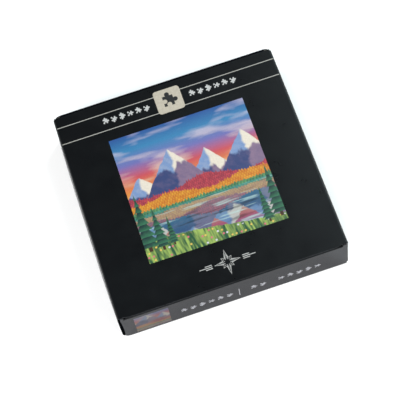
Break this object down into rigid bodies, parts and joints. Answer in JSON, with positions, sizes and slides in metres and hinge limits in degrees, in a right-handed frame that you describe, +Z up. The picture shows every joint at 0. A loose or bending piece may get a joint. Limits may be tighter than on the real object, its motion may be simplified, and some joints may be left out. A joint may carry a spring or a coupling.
{
  "type": "boxed jigsaw puzzle",
  "caption": "Small jigsaw puzzle in a square, flat tuck-end folding carton, with a sealed clear bag of interlocking pieces inside.",
  "frame": {"origin": "centre of the closed carton's base", "axes": "+Z up through the cover, -Y towards the end with the printed closure, +X to its right"},
  "size_m": [0.115, 0.115, 0.023],
  "materials": {
    "board_black": "gloss black coated board",
    "board_grey": "uncoated grey-brown board",
    "clear_film": "clear film",
    "puzzle_board": "printed satin board"
  },
  "bodies": {
    "sleeve": {"top_panel": "board_black", "bottom_panel": "board_black", "left_wall": "board_black", "right_wall": "board_black", "glue_flap": "board_grey"},
    "near_closure": {"near_closure": "board_black"},
    "near_tuck_flap": {"near_tuck_flap": "board_black"},
    "near_left_dust_flap": {"near_left_dust_flap": "board_grey"},
    "near_right_dust_flap": {"near_right_dust_flap": "board_grey"},
    "far_closure": {"far_closure": "board_black"},
    "far_tuck_flap": {"far_tuck_flap": "board_black"},
    "far_left_dust_flap": {"far_left_dust_flap": "board_grey"},
    "far_right_dust_flap": {"far_right_dust_flap": "board_grey"},
    "bag_of_pieces": {"bag_film": "clear_film", "bag_near_seal": "clear_film", "bag_far_seal": "clear_film", "piece_pair_01": "puzzle_board", "piece_pair_02": "puzzle_board", "piece_pair_03": "puzzle_board", "piece_pair_04": "puzzle_board", "piece_pair_05": "puzzle_board", "piece_pair_06": "puzzle_board", "piece_pair_07": "puzzle_board", "piece_pair_08": "puzzle_board", "piece_pair_09": "puzzle_board", "piece_pair_10": "puzzle_board", "piece_pair_11": "puzzle_board", "piece_pair_12": "puzzle_board", "piece_pair_13": "puzzle_board", "piece_pair_14": "puzzle_board", "piece_pair_15": "puzzle_board", "piece_pair_16": "puzzle_board", "piece_pair_17": "puzzle_board", "piece_pair_18": "puzzle_board", "piece_pair_19": "puzzle_board", "piece_pair_20": "puzzle_board", "piece_pair_21": "puzzle_board", "piece_pair_22": "puzzle_board", "piece_pair_23": "puzzle_board", "piece_pair_24": "puzzle_board", "piece_pair_25": "puzzle_board", "piece_pair_26": "puzzle_board", "piece_pair_27": "puzzle_board", "piece_pair_28": "puzzle_board", "piece_pair_29": "puzzle_board", "piece_pair_30": "puzzle_board", "piece_pair_31": "puzzle_board", "piece_pair_32": "puzzle_board", "piece_pair_33": "puzzle_board", "piece_pair_34": "puzzle_board", "piece_pair_35": "puzzle_board", "piece_pair_36": "puzzle_board"}
  },
  "joints": [
    {"name": "near_closure_hinge", "type": "hinge", "parent": "sleeve", "child": "near_closure", "pos_m": [0, -0.057, 0.0005], "axis": [1, 0, 0], "range_deg": [0, 90]},
    {"name": "near_tuck_crease", "type": "hinge", "parent": "near_closure", "child": "near_tuck_flap", "pos_m": [0, -0.057, 0.0219], "axis": [1, 0, 0], "range_deg": [0, 23]},
    {"name": "near_left_dust_crease", "type": "hinge", "parent": "sleeve", "child": "near_left_dust_flap", "pos_m": [-0.057, -0.05625, 0.0115], "axis": [0, 0, -1], "range_deg": [0, 50]},
    {"name": "near_right_dust_crease", "type": "hinge", "parent": "sleeve", "child": "near_right_dust_flap", "pos_m": [0.057, -0.05625, 0.0115], "axis": [0, 0, 1], "range_deg": [0, 50]},
    {"name": "far_closure_hinge", "type": "hinge", "parent": "sleeve", "child": "far_closure", "pos_m": [0, 0.057, 0.0225], "axis": [1, 0, 0], "range_deg": [0, 180]},
    {"name": "far_tuck_crease", "type": "hinge", "parent": "far_closure", "child": "far_tuck_flap", "pos_m": [0, 0.057, 0.0011], "axis": [1, 0, 0], "range_deg": [0, 45]},
    {"name": "far_left_dust_crease", "type": "hinge", "parent": "sleeve", "child": "far_left_dust_flap", "pos_m": [-0.057, 0.05625, 0.0115], "axis": [0, 0, 1], "range_deg": [0, 100]},
    {"name": "far_right_dust_crease", "type": "hinge", "parent": "sleeve", "child": "far_right_dust_flap", "pos_m": [0.057, 0.05625, 0.0115], "axis": [0, 0, -1], "range_deg": [0, 100]},
    {"name": "bag_slide", "type": "slide", "parent": "sleeve", "child": "bag_of_pieces", "axis": [0, 1, 0], "range_m": [0, 0.0439]}
  ],
  "couplings": [
    {"joint": "near_tuck_crease", "follows": "near_closure_hinge", "ratio": 0.25},
    {"joint": "near_left_dust_crease", "follows": "near_closure_hinge", "ratio": 0.55},
    {"joint": "near_right_dust_crease", "follows": "near_closure_hinge", "ratio": 0.55},
    {"joint": "far_closure_hinge", "follows": "bag_slide", "rad_per_m": 71.429},
    {"joint": "far_tuck_crease", "follows": "bag_slide", "rad_per_m": 17.857},
    {"joint": "far_left_dust_crease", "follows": "bag_slide", "rad_per_m": 39.286},
    {"joint": "far_right_dust_crease", "follows": "bag_slide", "rad_per_m": 39.286}
  ]
}
